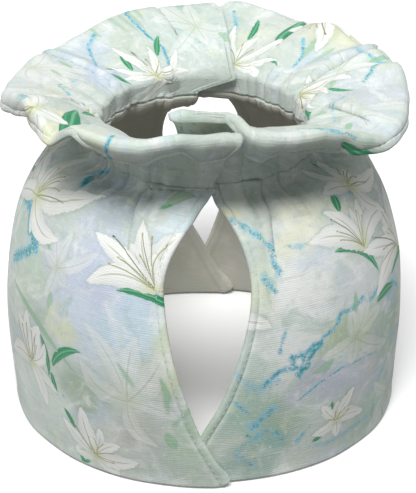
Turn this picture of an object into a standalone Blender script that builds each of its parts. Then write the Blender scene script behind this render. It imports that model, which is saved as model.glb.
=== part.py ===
"""Tea cosy: a fitted padded cloth cover that stands on its hem, with a wide frill round its neck.

Two side panels wrap round and cross at the front and at the back, and leave a tall teardrop opening on
each of these sides. Each panel is gathered at the neck into a short casing, which turns out as a frill.
The cosy is hollow, and it is open below and above. The left half laps outside at the front, and the
right half at the back.
Everything is in metres, +Z up. The origin is on the surface that the hem rests on, on the cosy's axis.
A bearing is an angle round the axis in degrees: 0 is the front (-Y), 90 the right side (+X), 180 the back.
"""

from collections import namedtuple
from math import cos, degrees, exp, hypot, radians, sin

import bmesh
import bpy
from mathutils import Vector

MM = 0.001

# Driving dimensions, in millimetres
CLOTH = 2.8  # two layers of cloth with thin padding between them
GAP = 0.8  # between the two halves where they lap
SEAM_GAP = 0.35  # between the gathered panel and the casing sewn on it
NECK_RADIUS = 44.9
SEAM_HEIGHT = 119.6
CASING_HEIGHT = 8.0
GATHERS = 21  # small folds round the neck
GATHER_DEPTH = 1.0
GATHER_DRIFT = 1.3  # the folds crowd together and spread three times round, by this phase in radians
GATHER_JITTER = 0.7  # and five times round, by this one
GATHER_EVENNESS = 0.75  # the middling fold's depth, as a share of the deepest
GATHER_CLEAR = 11.0  # degrees from the centre line within which the cloth has no small folds
GATHER_FADE = 9.0  # degrees more in which they begin
LAP_FULL = 15.0  # degrees from the centre line within which one half stands clear outside the other
LAP_FADE = 36.0  # degrees more in which both halves come back to the same surface
COLUMNS = 72  # faces round each half

# The wall from the hem to the neck seam. Each half has an outer end, which laps over the other half, and
# an inner end. The laps say how far the ends run past the centre line: below zero they draw back from it
# and leave the opening. The gather is the share of the neck's small folds that a row keeps.
WallRow = namedtuple("WallRow", "height radius outer_lap inner_lap gather")
WALL = (
    WallRow(0.0, 81.4, 10.6, 14.0, 0.00),
    WallRow(3.0, 81.4, 9.2, 12.4, 0.00),
    WallRow(14.0, 82.1, 4.2, 6.0, 0.00),
    WallRow(26.0, 82.7, -1.6, -0.2, 0.00),
    WallRow(40.0, 83.1, -6.4, -7.6, 0.00),
    WallRow(54.0, 83.1, -10.4, -12.8, 0.00),
    WallRow(68.0, 82.0, -13.4, -16.8, 0.03),
    WallRow(80.0, 79.6, -15.2, -19.0, 0.08),
    WallRow(91.0, 76.2, -15.6, -19.0, 0.16),
    WallRow(100.0, 72.3, -14.4, -16.8, 0.30),
    WallRow(107.0, 67.8, -11.6, -13.8, 0.50),
    WallRow(111.4, 62.6, -8.4, -10.6, 0.70),
    WallRow(113.4, 56.8, -4.8, -8.0, 0.85),
    WallRow(114.1, 51.6, -0.8, -5.6, 1.00),
    WallRow(115.4, 47.4, 2.2, -3.8, 1.00),
    WallRow(117.6, NECK_RADIUS + 0.4, 4.5, -2.5, 1.00),
    WallRow(SEAM_HEIGHT, NECK_RADIUS, 4.5, -2.5, 1.00),
)
FOOT_ROWS = 2  # the hem's foot stands upright
NECK_ROWS = 2  # and so does the neck

# Long soft pleats that run from the neck down over the shoulder
Pleat = namedtuple("Pleat", "bearing width depth length")
PLEATS = (
    Pleat(-25, 7.0, 2.4, 50),
    Pleat(-46, 6.0, 1.5, 36),
    Pleat(-71, 6.5, 1.6, 40),
    Pleat(-104, 7.0, 1.9, 44),
    Pleat(-139, 6.0, 1.5, 36),
    Pleat(23, 5.5, 2.6, 54),
    Pleat(45, 6.0, 1.7, 34),
    Pleat(78, 6.5, 1.6, 42),
    Pleat(112, 7.0, 1.8, 38),
    Pleat(148, 6.0, 1.5, 36),
)
PLEAT_START = 9.0  # they open out over this distance from the seam

# The frill's crest, a row for each flute and for each valley between flutes: how far out and how high it
# lies, how much cloth droops beyond it, and how steep that droop ends, in degrees below level.
Crest = namedtuple("Crest", "bearing reach height droop turn")
LEFT_FRILL = (
    Crest(-194, 71.0, 149.2, 4.0, 20),
    Crest(-186, 74.5, 148.2, 4.0, 20),
    Crest(-176, 79.0, 145.4, 4.5, 15),
    Crest(-164, 82.6, 142.8, 4.5, 12),
    Crest(-152, 82.8, 141.6, 4.5, 12),
    Crest(-140, 82.6, 137.6, 5.0, 20),
    Crest(-130, 82.8, 133.6, 4.5, 15),
    Crest(-118, 81.8, 137.4, 5.0, 30),
    Crest(-104, 80.6, 138.6, 6.0, 45),
    Crest(-92, 80.2, 140.4, 6.5, 45),
    Crest(-82, 80.2, 144.6, 7.0, 50),
    Crest(-73, 79.4, 149.4, 7.5, 60),
    Crest(-64, 77.8, 152.4, 7.0, 65),
    Crest(-55, 79.2, 150.4, 6.0, 55),
    Crest(-46, 81.6, 146.6, 4.0, 40),
    Crest(-39, 80.4, 153.2, 3.0, 50),
    Crest(-32, 80.6, 152.8, 6.5, 75),
    Crest(-25, 80.6, 152.8, 9.0, 80),
    Crest(-18, 80.0, 153.6, 8.0, 80),
    Crest(-11, 78.4, 156.2, 6.5, 75),
    Crest(-3, 77.2, 157.4, 12.5, 82),
    Crest(5, 77.4, 157.4, 12.5, 82),
    Crest(11, 78.6, 156.4, 7.0, 75),
)
RIGHT_FRILL = (
    Crest(-15, 59.0, 155.4, 3.0, 60),
    Crest(-8, 60.5, 158.4, 3.0, 60),
    Crest(0, 62.0, 159.2, 3.0, 60),
    Crest(8, 64.0, 159.2, 3.0, 60),
    Crest(13, 68.0, 158.8, 4.5, 60),
    Crest(21, 77.8, 156.0, 11.5, 78),
    Crest(26, 79.4, 154.8, 8.5, 80),
    Crest(34, 80.2, 153.8, 9.0, 80),
    Crest(41, 81.4, 151.4, 9.5, 78),
    Crest(48, 84.0, 146.4, 6.5, 65),
    Crest(56, 85.4, 141.2, 4.5, 40),
    Crest(68, 83.8, 141.4, 5.5, 50),
    Crest(80, 82.4, 142.0, 6.5, 55),
    Crest(91, 81.8, 141.2, 8.0, 60),
    Crest(101, 81.6, 145.4, 6.5, 45),
    Crest(109, 82.6, 139.8, 5.0, 25),
    Crest(117, 82.0, 142.4, 4.5, 15),
    Crest(127, 83.0, 137.0, 4.5, 12),
    Crest(139, 82.0, 143.6, 4.5, 15),
    Crest(150, 82.8, 139.4, 4.5, 12),
    Crest(160, 82.6, 142.6, 4.5, 12),
    Crest(169, 83.2, 145.2, 4.5, 20),
    Crest(176, 83.4, 144.2, 4.5, 20),
    Crest(190, 83.6, 141.0, 4.5, 20),
)
# The bearings of each frill's two ends, at the casing's foot and top and at the crest
FrillEnds = namedtuple("FrillEnds", "front_foot front_top front_crest back_foot back_top back_crest")
LEFT_ENDS = FrillEnds(5.7, 9.5, 11.0, -176.8, -199.0, -186.0)
RIGHT_ENDS = FrillEnds(3.2, -12.0, -15.0, 185.7, 189.5, 175.0)

CASING_FOOT = 0.2  # the share of the casing that keeps the seam's ends
# Stations from the casing's foot to the rim, as shares of each part's height, reach or droop
STATIONS = (
    ("casing", 0.0),
    ("casing", CASING_FOOT),
    ("casing", 1.0),
    ("flare", 0.16),
    ("flare", 0.36),
    ("flare", 0.58),
    ("flare", 0.80),
    ("flare", 1.0),
    ("rim", 0.35),
    ("rim", 0.70),
    ("rim", 1.0),
)
FLARE_RISE = 0.72  # the share of its height that the frill gains before it turns outward
FLARE_REACH = 0.20  # and the share of its reach that it gains meanwhile
LAP_SPREAD = 1.2  # the two frills stand this much further apart halfway up, where they lap
PUCKER = 1.3  # the neck's folds are this much deeper just above the casing
PUCKER_FROM = 0.2  # the share of the flare over which they deepen
PUCKER_END = 0.8  # and the share at which they have run out
CREST_ROUNDING = 0.6  # 0 keeps straight lines between the crest's rows, 1 gives them level tops
DROOP_OUT = 0.75  # the droop's mean slope, as a share of its last one, for its way out
DROOP_DOWN = 0.9  # and for its way down

PANEL_COLOUR = (0.66, 0.76, 0.71, 1.0)
FRILL_COLOUR = (0.72, 0.80, 0.77, 1.0)


def clear_scene():
    for old in list(bpy.data.objects):
        bpy.data.objects.remove(old)


def cloth_material(name, colour):
    """Matt printed cloth."""
    material = bpy.data.materials.new(name)
    material.use_nodes = True
    shader = material.node_tree.nodes["Principled BSDF"]
    shader.inputs["Base Color"].default_value = colour
    shader.inputs["Roughness"].default_value = 0.85
    shader.inputs["Metallic"].default_value = 0.0
    return material


def ease(t):
    """0 to 1 with level ends."""
    t = min(1.0, max(0.0, t))
    return t * t * (3 - 2 * t)


def blend(a, b, t):
    return a + (b - a) * t


def polar(bearing, radius, height):
    """A point in metres, from a bearing in degrees and a radius and height in millimetres."""
    angle = radians(bearing)
    return Vector((radius * sin(angle), -radius * cos(angle), height)) * MM


def off_front(bearing):
    """Degrees from the front, 0 to 180."""
    return abs((bearing + 180) % 360 - 180)


def gathers(bearing):
    """The small neck folds, uneven in width and depth, and flat where the two halves lap."""
    angle = radians(bearing)
    phase = GATHER_DRIFT * sin(3 * angle) + GATHER_JITTER * cos(5 * angle)
    uneven = GATHER_EVENNESS + (1 - GATHER_EVENNESS) * sin(4 * angle + 1)
    off_centre_line = min(off_front(bearing), 180 - off_front(bearing))
    fade = ease((off_centre_line - GATHER_CLEAR) / GATHER_FADE)
    return GATHER_DEPTH * cos(GATHERS * angle + phase) * uneven * fade


def pleats(bearing, radius, from_seam):
    """How far the long pleats sink the cloth, at a distance down from the neck seam."""
    sunk = 0.0
    for pleat in PLEATS:
        across = radius * radians((bearing - pleat.bearing + 180) % 360 - 180)
        fade = 1 - ease(from_seam / pleat.length)
        sunk += pleat.depth * fade * exp(-((across / pleat.width) ** 2))
    return sunk * ease(from_seam / PLEAT_START)


def lap_shift(bearing, is_left):
    """How far a half stands outside the surface that both halves share away from the laps."""
    at_front = 1 - ease((off_front(bearing) - LAP_FULL) / LAP_FADE)
    at_back = 1 - ease((180 - off_front(bearing) - LAP_FULL) / LAP_FADE)
    shift = (CLOTH + GAP) / 2 * (at_front - at_back)
    return shift if is_left else -shift


def wall_normal(index):
    """The outward direction of the wall's profile at a row, as (radial, up)."""
    if index < FOOT_ROWS or index >= len(WALL) - NECK_ROWS:
        return 1.0, 0.0
    below = WALL[index - 1]
    above = WALL[index + 1]
    out, up = above.height - below.height, below.radius - above.radius
    size = hypot(out, up)
    return out / size, up / size


def seam_distances():
    """Each row's distance down the cloth from the neck seam."""
    distances = [0.0]
    for above, below in zip(WALL[:0:-1], WALL[-2::-1]):
        step = hypot(above.height - below.height, above.radius - below.radius)
        distances.append(distances[-1] + step)
    return distances[::-1]


def wall_ends(row, is_left):
    """The bearings of a panel's front end and back end at a row."""
    outer = degrees(row.outer_lap / row.radius)
    inner = degrees(row.inner_lap / row.radius)
    if is_left:
        return outer, -180 - inner
    return -inner, 180 + outer


def panel_place(is_left):
    """The function that lays a flat grid's point on a side panel's middle surface."""
    distances = seam_distances()

    def place(share_round, row_index):
        row = WALL[row_index]
        front, back = wall_ends(row, is_left)
        bearing = blend(front, back, share_round)
        out, up = wall_normal(row_index)
        lift = lap_shift(bearing, is_left) + row.gather * gathers(bearing)
        lift -= pleats(bearing, row.radius, distances[row_index])
        return polar(bearing, row.radius + out * lift, row.height + up * lift)

    return place


def crest_at(rows, bearing):
    """The frill's crest between two rows of its table, with flutes and valleys kept round."""
    for low, high in zip(rows, rows[1:]):
        if bearing <= high.bearing:
            break
    t = min(1.0, max(0.0, (bearing - low.bearing) / (high.bearing - low.bearing)))
    t = blend(t, ease(t), CREST_ROUNDING)
    return Crest(bearing, *(blend(a, b, t) for a, b in zip(low[1:], high[1:])))


def frill_place(is_left):
    """The function that lays a flat grid's point on a frill's middle surface."""
    rows = LEFT_FRILL if is_left else RIGHT_FRILL
    ends = LEFT_ENDS if is_left else RIGHT_ENDS
    foot = SEAM_HEIGHT + SEAM_GAP
    top = foot + CASING_HEIGHT

    def place(share_round, station_index):
        part, share = STATIONS[station_index]
        foot_bearing = blend(ends.front_foot, ends.back_foot, share_round)
        top_bearing = blend(ends.front_top, ends.back_top, share_round)
        crest_bearing = blend(ends.front_crest, ends.back_crest, share_round)
        if part == "casing":
            slid = max(0.0, share - CASING_FOOT) / (1 - CASING_FOOT)
            bearing = blend(foot_bearing, top_bearing, slid)
            radius = NECK_RADIUS + lap_shift(bearing, is_left) + gathers(bearing)
            return polar(bearing, radius, blend(foot, top, share))
        along = share if part == "flare" else 1.0
        bearing = blend(top_bearing, crest_bearing, along)
        crest = crest_at(rows, crest_bearing)
        neck = NECK_RADIUS + lap_shift(bearing, is_left)
        # A quadratic curve: up out of the casing, then outward to the crest
        bend_radius = blend(neck, crest.reach, FLARE_REACH)
        bend_height = blend(top, crest.height, FLARE_RISE)
        radius = blend(blend(neck, bend_radius, along), blend(bend_radius, crest.reach, along), along)
        height = blend(blend(top, bend_height, along), blend(bend_height, crest.height, along), along)
        radius += lap_shift(bearing, is_left) * LAP_SPREAD * 4 * along * (1 - along)
        pucker = blend(1.0, PUCKER, ease(along / PUCKER_FROM))
        radius += gathers(bearing) * pucker * (1 - ease(along / PUCKER_END))
        if part == "rim":
            angle = radians(crest.turn) * share
            radius += crest.droop * share * cos(angle * DROOP_OUT)
            height -= crest.droop * share * sin(angle * DROOP_DOWN)
        return polar(bearing, radius, height)

    return place


def bent_cloth(name, row_count, place, material, collection):
    """A flat grid laid on its curved surface row by row, then given the cloth's thickness."""
    mesh = bpy.data.meshes.new(name)
    grid = bmesh.new()
    bmesh.ops.create_grid(grid, x_segments=COLUMNS, y_segments=row_count - 1, size=0.5)
    for vertex in grid.verts:
        share_round = vertex.co.x + 0.5
        row_index = round((vertex.co.y + 0.5) * (row_count - 1))
        vertex.co = place(share_round, row_index)
    bmesh.ops.recalc_face_normals(grid, faces=grid.faces)
    grid.to_mesh(mesh)
    grid.free()
    mesh.materials.append(material)
    mesh.shade_smooth()
    cloth = bpy.data.objects.new(name, mesh)
    collection.objects.link(cloth)
    padding = cloth.modifiers.new("Padding", "SOLIDIFY")
    padding.thickness = CLOTH * MM
    padding.offset = 0.0


def main():
    clear_scene()
    collection = bpy.data.collections.new("tea_cosy")
    bpy.context.scene.collection.children.link(collection)
    panel_cloth = cloth_material("printed_panel_cloth", PANEL_COLOUR)
    frill_cloth = cloth_material("printed_frill_cloth", FRILL_COLOUR)
    for side, is_left in (("left", True), ("right", False)):
        bent_cloth(f"side_panel_{side}", len(WALL), panel_place(is_left), panel_cloth, collection)
        bent_cloth(f"frill_{side}", len(STATIONS), frill_place(is_left), frill_cloth, collection)


main()
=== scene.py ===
from math import cos, radians, sin

import bpy
import numpy as np
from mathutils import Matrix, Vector


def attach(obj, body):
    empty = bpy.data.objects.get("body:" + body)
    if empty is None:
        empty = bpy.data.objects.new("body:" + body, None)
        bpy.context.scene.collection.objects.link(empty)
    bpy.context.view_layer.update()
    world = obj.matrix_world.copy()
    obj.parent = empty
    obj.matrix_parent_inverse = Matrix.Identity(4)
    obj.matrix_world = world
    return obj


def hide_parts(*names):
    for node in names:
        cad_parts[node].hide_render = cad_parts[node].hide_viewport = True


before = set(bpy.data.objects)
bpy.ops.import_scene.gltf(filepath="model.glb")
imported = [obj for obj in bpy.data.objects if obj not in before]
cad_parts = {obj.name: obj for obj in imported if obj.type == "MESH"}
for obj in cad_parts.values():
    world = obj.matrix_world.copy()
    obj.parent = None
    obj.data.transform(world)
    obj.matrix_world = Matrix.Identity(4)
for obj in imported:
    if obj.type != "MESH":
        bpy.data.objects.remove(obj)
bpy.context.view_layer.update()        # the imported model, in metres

mm = 0.001

# What both halves share. Sizes are in mm, bearings in degrees: 0 is the front, 90 the right, 180 the back.
cover = {
    "cloth": 2.8,          # two layers of cotton with thin padding
    "lapGap": 0.8,
    "seamGap": 0.35,
    "neckRadius": 44.9,
    "seamHeight": 119.6,
    "lapFull": 15.0,       # degrees either side of a lap's middle that stand fully outside or inside
    "lapFade": 36.0,
    "folds": 21,           # that the elastic draws the neck into
    "foldDepth": 1.0,
    "puckerDepth": 0.34,
    "foldsFrom": 13.0,     # degrees from a lap's middle to where the folds begin
    "foldsFade": 9.0,
    "flatPerDegree": 1.44, # flat cloth for each degree round the axis
    "roundEdge": 1.3,      # how far in from a hem the cloth's edge is rounded
    "edgeShare": 0.22,     # of the thickness, left at the very edge
    "offFloor": 0.12,      # the hem's soft edge just meets the table
}

# One side of the wall
panel = {
    "columns": 268,
    "rows": 136,
    "degrees": 178,        # that it reaches round the cover, for the spacing of the columns
    "hem": 3.2,            # width of a turned hem
    "hemStep": (0.22, 0.4),      # the turned hem is thicker: by this much, ending over
    "groove": (0.4, 0.5),  # where it is sewn down: depth, width
    "roll": (0.16, 2.2, 1.8),    # the cloth puffs up beside it: height, distance, width
    "corner": 4.0,
    "cornerFade": 14.0,
    "footUpright": (2.0, 6.0),   # the lowest rows stay upright: up to, fading over
    "seamUpright": 4.0,    # and so do the last ones before the casing
    "pleatStart": 9.0,     # the pleats below deepen over this much cloth from the seam
    "unevenness": 0.30,
    # height, radius, outer lap, inner lap, share of the neck's folds
    "rowsOfWall": (
        (0.0, 81.4, 10.6, 14.0, 0.00),
        (3.0, 81.4, 9.2, 12.4, 0.00),
        (14.0, 82.1, 4.2, 6.0, 0.00),
        (26.0, 82.7, -1.6, -0.2, 0.00),
        (40.0, 83.1, -6.4, -7.6, 0.00),
        (54.0, 83.1, -10.4, -12.8, 0.00),
        (68.0, 82.0, -13.4, -16.8, 0.03),
        (80.0, 79.6, -15.2, -19.0, 0.08),
        (91.0, 76.2, -15.6, -19.0, 0.16),
        (100.0, 72.3, -12.8, -16.8, 0.30),
        (107.0, 67.8, -8.2, -13.8, 0.50),
        (111.4, 62.6, -3.6, -10.6, 0.70),
        (113.4, 56.8, -0.6, -8.0, 0.85),
        (114.1, 51.6, 1.6, -5.6, 1.00),
        (115.4, 47.4, 3.2, -3.8, 1.00),
        (117.6, 45.3, 4.5, -2.5, 1.00),
        (119.6, 44.9, 4.5, -2.5, 1.00),
    ),
    # bearing, width, depth and length of each long pleat down from the neck
    "pleats": (
        (-25, 6.5, 3.2, 56), (-46, 6.5, 2.6, 50), (-71, 6.5, 2.2, 44), (-104, 7.0, 1.9, 44),
        (-139, 6.0, 1.5, 36), (25, 5.5, 3.0, 56), (45, 6.5, 2.4, 44), (78, 6.5, 2.0, 42),
        (112, 7.0, 1.8, 38), (148, 6.0, 1.5, 36),
    ),
    # creases where a pleat's edge folds over: how high the step is, how far it fades, on which side
    # (1 is to the right of its line from top to bottom), and the line's points in flat x and rise
    "creases": (
        (3.0, 12.0, -1, ((44, 139), (41.5, 134), (39, 125), (34.5, 113), (33.4, 108), (33, 98))),
        (2.8, 12.0, 1, ((-36, 139), (-37, 135), (-40.5, 128), (-36.5, 117), (-35.5, 110), (-34, 98))),
        (1.6, 8.0, -1, ((-30, 133), (-20, 130), (-10, 131), (-2, 134))),
        (1.2, 6.0, 1, ((62, 139), (60, 130), (57, 120))),
        (0.8, 6.0, -1, ((-88, 139), (-84, 128), (-80, 112))),
        (0.8, 6.0, 1, ((-132, 139), (-128, 126), (-126, 112))),
        (0.9, 7.0, -1, ((-186, 139), (-184, 126), (-180, 110))),
        (0.8, 6.0, -1, ((104, 139), (108, 126), (110, 114))),
        (0.9, 7.0, 1, ((158, 139), (160, 124), (163, 108))),
        (0.8, 6.0, 1, ((214, 139), (212, 126), (210, 114))),
    ),
}

# One side of the frill, with the casing at its foot
frill = {
    "columns": 300,
    "casingRows": 9,
    "flareRows": 44,
    "rimRows": 14,
    "rimSpacing": 1.6,     # rows draw together where the rim turns
    "width": 280.0,        # for the spacing of the columns
    "patternStart": 150,   # where it begins in the flat pattern
    "casing": 8.0,
    "casingFoot": 0.2,
    "casingSeams": (0.14, 0.94),    # shares of the casing's height
    "rise": 0.72,
    "reach": 0.20,
    "spread": 1.2,
    "pucker": 3.0,         # the folds deepen this much above the casing, fade in by and out by
    "puckerSpan": (0.2, 0.8),
    "finePucker": 1.3,
    "fineSpan": (0.2, 0.62),
    "length": 52.0,        # from the casing's foot to the crest
    "corner": 11.0,        # the strip's corners are cut round
    "cornerFrom": 30.0,
    "groove": (0.35, 0.5),
    "roll": (0.15, 2.0, 1.6),
    "band": (0.12, 1.2),   # the rim's hem is a little full along its middle: height, width
    "unevenness": 0.35,
    "unevenFrom": (12.0, 20.0),
    "waveScale": 1.7,
    "crestEase": 0.6,
    "tuck": 8.0,           # how near its crest the rim makes its turn
    "hang": 1.25,          # a rim that turns by more than hangFrom degrees hangs this much further
    "hangFrom": (30.0, 40.0),
    "curl": 1.57,          # its rim turns under by this many times its stated angle
    "rimStart": 0.8,       # share of the flare's own slope that the rim starts with
    "rimSteps": 16,
    "creases": (
        (2.4, 9.0, -1, ((-182, 206), (-178, 190), (-172, 170), (-160, 156))),
        (0.8, 5.0, 1, ((-238, 206), (-237, 190), (-236, 178))),
        (2.4, 9.0, 1, ((174, 206), (166, 188), (160, 174), (160, 158))),
        (0.9, 6.0, 1, ((214, 206), (208, 188), (204, 170))),
        (2.0, 7.0, -1, ((112, 176), (98, 190), (84, 206))),
        (0.9, 6.0, 1, ((-118, 168), (-104, 186), (-98, 206))),
        (0.9, 6.0, -1, ((-62, 164), (-58, 186), (-50, 206))),
        (0.8, 5.0, 1, ((-206, 170), (-208, 186), (-212, 200))),
    ),
    # the crest: bearing, reach, height, droop beyond it, and how steep the droop ends
    "left": (
        (-194, 71.0, 149.2, 4.0, 20), (-186, 74.5, 148.2, 4.0, 20), (-176, 79.0, 145.4, 4.5, 15),
        (-164, 82.6, 142.8, 4.5, 12), (-152, 82.8, 141.6, 4.5, 12), (-140, 82.6, 137.6, 5.0, 20),
        (-130, 82.8, 133.6, 4.5, 15), (-118, 81.8, 137.4, 5.0, 30), (-104, 80.6, 138.6, 6.0, 45),
        (-92, 80.2, 140.4, 6.5, 45), (-82, 80.2, 144.6, 7.0, 50), (-73, 79.4, 149.4, 7.5, 60),
        (-64, 77.8, 152.4, 7.0, 65), (-55, 79.2, 150.4, 6.0, 55), (-46, 81.6, 146.6, 4.0, 40),
        (-39, 80.4, 153.2, 3.0, 50), (-32, 80.6, 152.8, 6.5, 75), (-25, 80.6, 152.4, 9.5, 80),
        (-18, 80.0, 152.8, 10.0, 80), (-11, 78.8, 155.2, 7.0, 78),
        (-6.5, 78.2, 156.2, 6.5, 78), (-1, 77.6, 156.6, 12.0, 78), (5, 77.4, 157.0, 12.5, 78),
        (11, 78.4, 156.4, 8.0, 75),
    ),
    "right": (
        (-15, 59.0, 155.4, 3.0, 60), (-8, 60.5, 158.4, 3.0, 60), (0, 62.0, 159.2, 3.0, 60),
        (8, 64.0, 159.2, 3.0, 60), (11, 66.5, 158.8, 5.0, 60), (14, 75.8, 156.6, 12.0, 78),
        (17.5, 77.6, 155.6, 13.0, 80), (21.5, 79.0, 155.2, 8.0, 80),
        (27, 79.6, 154.6, 9.5, 80), (34, 80.2, 153.8, 9.0, 80), (41, 81.4, 151.4, 9.5, 78),
        (48, 84.0, 146.4, 6.5, 65), (56, 85.4, 141.2, 4.5, 40), (68, 83.8, 141.4, 5.5, 50),
        (80, 82.4, 142.0, 6.5, 55), (91, 81.8, 141.2, 8.0, 60), (101, 81.6, 145.4, 6.5, 45),
        (109, 82.6, 139.8, 5.0, 25), (117, 82.0, 142.4, 4.5, 15), (127, 83.0, 137.0, 4.5, 12),
        (139, 82.0, 143.6, 4.5, 15), (150, 82.8, 139.4, 4.5, 12), (160, 82.6, 142.6, 4.5, 12),
        (169, 83.2, 145.2, 4.5, 20), (176, 83.4, 144.2, 4.5, 20), (190, 83.6, 141.0, 4.5, 20),
    ),
    # bearings of the ends: front at the casing's foot, its top and the crest, then the same at the back
    "leftEnds": (5.7, 9.5, 11.0, -176.8, -199.0, -186.0),
    "rightEnds": (3.2, -12.0, -15.0, 185.7, 189.5, 175.0),
}

# Cloth folded over along a line: over what width it rises, the groove along its foot (depth, distance, width)
# and the share of the line's length over which it dies out
crease = {"start": 0.6, "width": 1.3, "groove": (0.8, 0.7, 1.1), "fade": 0.55}


def ease(t):
    t = np.clip(t, 0.0, 1.0)
    return t * t * (3 - 2 * t)


def mixed(a, b, t):
    return a + (b - a) * t


def bump(distance, width):
    return np.exp(-(distance / width) ** 2)


def curveThrough(knots, values, at):
    slopes = np.gradient(values, knots)
    i = np.clip(np.searchsorted(knots, at) - 1, 0, len(knots) - 2)
    span = knots[i + 1] - knots[i]
    t = np.clip((at - knots[i]) / span, 0, 1)
    value = (1 + 2 * t) * (1 - t) ** 2 * values[i] + t * t * (3 - 2 * t) * values[i + 1]
    return value + span * (t * (1 - t) ** 2 * slopes[i] - t * t * (1 - t) * slopes[i + 1])


def offFront(bearing):
    return np.abs((bearing + 180) % 360 - 180)


def lapShift(bearing, isLeft):    # each half stands outside or inside the other where they lap
    off = offFront(bearing)
    atFront = 1 - ease((off - cover["lapFull"]) / cover["lapFade"])
    atBack = 1 - ease((180 - off - cover["lapFull"]) / cover["lapFade"])
    shift = (cover["cloth"] + cover["lapGap"]) / 2 * (atFront - atBack)
    return shift if isLeft else -shift


def gathers(bearing):    # the folds die out towards both laps
    off = offFront(bearing)
    return ease((np.minimum(off, 180 - off) - cover["foldsFrom"]) / cover["foldsFade"])


def neckFolds(bearing):    # uneven in their spacing and their depth
    angle = np.radians(bearing)
    phase = 1.3 * np.sin(3 * angle) + 0.7 * np.cos(5 * angle)
    uneven = 0.75 + 0.25 * np.sin(4 * angle + 1)
    return cover["foldDepth"] * np.cos(cover["folds"] * angle + phase) * uneven * gathers(bearing)


def fineFolds(bearing):    # the elastic draws the cloth into smaller puckers between the folds
    angle = np.radians(bearing)
    wave = np.cos(57 * angle + 2.1 * np.sin(5 * angle + 0.4))
    wave = wave + 0.6 * np.cos(83 * angle + 1.7 * np.cos(7 * angle))
    return cover["puckerDepth"] * wave * gathers(bearing)


def creased(x, y, lines):    # the cloth stands up on one side of each line and ends sharply on it
    lift = np.zeros_like(x)
    depth, foot, width = crease["groove"]
    for height, reach, side, points in lines:
        points = np.array(points, float)
        nearest, across, along, run = np.full_like(x, 1e6), np.zeros_like(x), np.zeros_like(x), 0.0
        for start, line in zip(points, np.diff(points, axis=0)):
            dx, dy, size = x - start[0], y - start[1], np.hypot(*line)
            t = np.clip((dx * line[0] + dy * line[1]) / size ** 2, 0, 1)
            away = np.hypot(dx - t * line[0], dy - t * line[1])
            across = np.where(away < nearest, -side * np.sign(dx * line[1] - dy * line[0]) * away, across)
            along = np.where(away < nearest, run + t * size, along)
            nearest = np.minimum(away, nearest)
            run = run + size
        fade = ease((run - along) / (crease["fade"] * run))
        fold = ease((across + crease["start"]) / crease["width"]) * np.exp(-np.maximum(across, 0) / reach)
        fold = fold - depth * bump(across + foot, width)
        lift = lift + height * fade * fold
    return lift


def polar(bearing, radius, height):
    angle = np.radians(bearing)
    return np.stack([radius * np.sin(angle), -radius * np.cos(angle), height], axis=-1) * mm


def softWave(x, y):    # cloth over thin padding is never quite even
    return (np.sin(x * 0.071 + 1.3 * np.sin(y * 0.043)) * np.cos(y * 0.062 + 0.6)
            + 0.5 * np.sin(x * 0.133 - y * 0.087 + 2.0) + 0.3 * np.cos(x * 0.21 + y * 0.16))


wallRows = np.array(panel["rowsOfWall"])
wallRise = np.concatenate([[0], np.cumsum(np.hypot(np.diff(wallRows[:, 0]), np.diff(wallRows[:, 1])))])


def wallAt(rise):    # height, radius, laps and fold share at a distance up the cloth from the hem
    height, radius, outer, inner, gather = (curveThrough(wallRise, wallRows[:, i], rise) for i in range(5))
    return height, radius, outer, inner, np.clip(gather, 0, 1)


def panelEnds(rise, isLeft):
    _, radius, outer, inner, _ = wallAt(rise)
    outer, inner = np.degrees(outer / radius), np.degrees(inner / radius)
    return (outer, -180 - inner) if isLeft else (-inner, 180 + outer)


def panelPoint(bearing, rise, isLeft, lift=0.0):
    height, radius, _, _, gather = wallAt(rise)
    above, below = wallAt(rise + 0.5), wallAt(rise - 0.5)
    out, up = above[0] - below[0], below[1] - above[1]
    size = np.maximum(np.hypot(out, up), 1e-6)
    foot, fade = panel["footUpright"]
    upright = np.maximum(1 - ease((rise - foot) / fade), ease((rise - wallRise[-3]) / panel["seamUpright"]))
    out, up = mixed(out / size, 1.0, upright), mixed(up / size, 0.0, upright)
    fromSeam = wallRise[-1] - rise
    total = lift + lapShift(bearing, isLeft) + gather * neckFolds(bearing)
    total = total + gather ** 1.5 * fineFolds(bearing)
    sunk = 0.0
    for where, width, depth, length in panel["pleats"]:
        across = radius * np.radians((bearing - where + 180) % 360 - 180)
        sunk = sunk + depth * (1 - ease(fromSeam / length)) * bump(across, width)
    total = total - sunk * ease(fromSeam / panel["pleatStart"])
    x = bearing * cover["flatPerDegree"]
    total = total + creased(x, rise, panel["creases"])
    total = total + panel["unevenness"] * softWave(x, rise)
    return polar(bearing, radius + out * total, height + up * total + cover["offFloor"])


def crestAt(rows, bearing):
    rows = np.array(rows)
    i = np.clip(np.searchsorted(rows[:, 0], bearing) - 1, 0, len(rows) - 2)
    t = np.clip((bearing - rows[i, 0]) / (rows[i + 1, 0] - rows[i, 0]), 0, 1)
    t = mixed(t, ease(t), frill["crestEase"])
    reach, height, droop, turn = [mixed(rows[i, k], rows[i + 1, k], t) for k in range(1, 5)]
    least, fade = frill["hangFrom"]
    return reach, height, droop * mixed(1.0, frill["hang"], ease((turn - least) / fade)), turn


def crestOf(isLeft, bearing):
    return crestAt(frill["left" if isLeft else "right"], bearing)


def endsOf(isLeft):
    return frill["leftEnds" if isLeft else "rightEnds"]


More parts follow.
